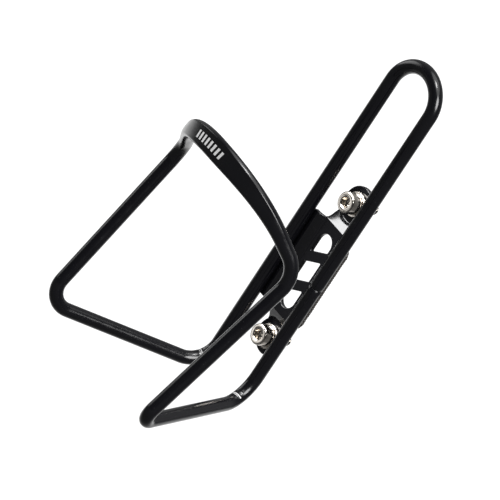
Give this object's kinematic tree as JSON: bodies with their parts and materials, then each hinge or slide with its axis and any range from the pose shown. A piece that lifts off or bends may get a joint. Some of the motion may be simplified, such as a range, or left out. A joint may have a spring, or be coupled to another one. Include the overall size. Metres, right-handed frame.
{
  "type": "bicycle water bottle cage",
  "caption": "Bent-rod bottle cage with a flattened front band, a stamped bracket welded behind its rails, and socket-head bolts with washers.",
  "frame": {"origin": "midway between the two bolts, on the plane of the bracket's back faces", "axes": "+Z along the bottle towards its mouth, +Y towards the bicycle's tube, -Y towards the front band, +X to the right seen from the front of the cage looking at the tube"},
  "size_m": [0.087, 0.0953, 0.1559],
  "materials": {
    "black_rod": "gloss",
    "black_sheet": "gloss",
    "painted_weld": "satin",
    "stainless": "polished"
  },
  "bodies": {
    "cage": {"rod_loop": "black_rod", "mounting_bracket": "black_sheet", "weld_bead_right": "painted_weld", "weld_bead_left": "painted_weld"},
    "upper_washer_carrier": {"upper_washer": "stainless"},
    "upper_bolt_body": {"upper_bolt": "stainless"},
    "lower_washer_carrier": {"lower_washer": "stainless"},
    "lower_bolt_body": {"lower_bolt": "stainless"}
  },
  "joints": [
    {"name": "upper_bolt_out", "type": "slide", "parent": "cage", "child": "upper_washer_carrier", "axis": [0, -1, 0], "range_m": [0, 0.008]},
    {"name": "upper_bolt_turn", "type": "hinge", "parent": "upper_washer_carrier", "child": "upper_bolt_body", "pos_m": [0, -0.003, 0.032], "axis": [0, -1, 0], "range_deg": [0, 3650]},
    {"name": "lower_bolt_out", "type": "slide", "parent": "cage", "child": "lower_washer_carrier", "axis": [0, -1, 0], "range_m": [0, 0.008]},
    {"name": "lower_bolt_turn", "type": "hinge", "parent": "lower_washer_carrier", "child": "lower_bolt_body", "pos_m": [0, -0.003, -0.032], "axis": [0, -1, 0], "range_deg": [0, 3650]}
  ],
  "couplings": [
    {"joint": "upper_bolt_turn", "follows": "upper_bolt_out", "rad_per_m": 7854},
    {"joint": "lower_bolt_turn", "follows": "lower_bolt_out", "rad_per_m": 7854}
  ]
}
